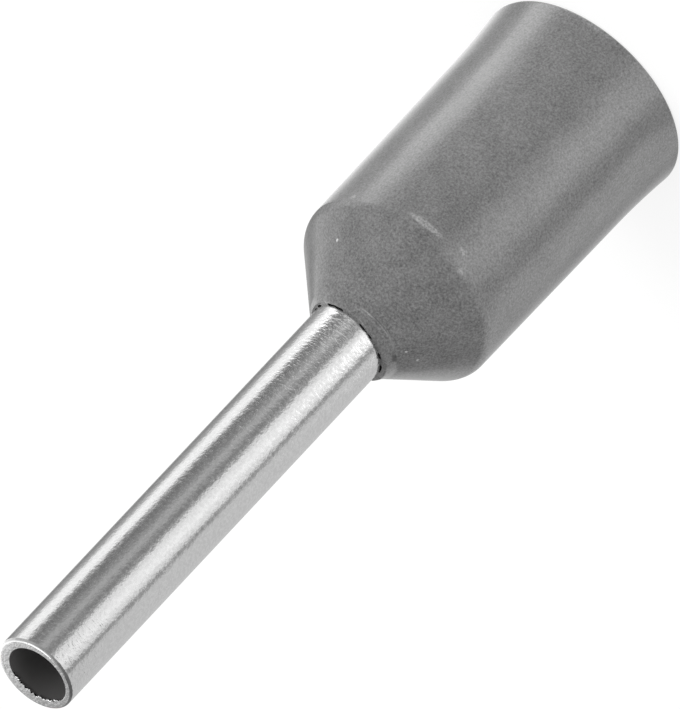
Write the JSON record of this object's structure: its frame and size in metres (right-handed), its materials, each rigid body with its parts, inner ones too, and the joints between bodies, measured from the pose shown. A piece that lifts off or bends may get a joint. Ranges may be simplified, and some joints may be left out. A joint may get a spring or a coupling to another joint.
{
  "type": "insulated wire ferrule",
  "caption": "Insulated end sleeve for stranded wire: a thin tinned copper tube set in a grey plastic collar with a conical nose and a widened wire entry.",
  "frame": {"origin": "centre of the collar's mouth, on the plane of its lip, on which the ferrule stands", "axes": "+Z along the axis from the collar's mouth to the tube's free end"},
  "size_m": [0.0036, 0.0036, 0.014],
  "materials": {
    "tinned_copper": "bright tin plate over drawn copper, fine marks round the tube",
    "grey_plastic": "moulded neutral grey plastic with a fine matt grain"
  },
  "bodies": {
    "root": {"contact_tube": "tinned_copper", "insulating_collar": "grey_plastic"}
  },
  "joints": []
}
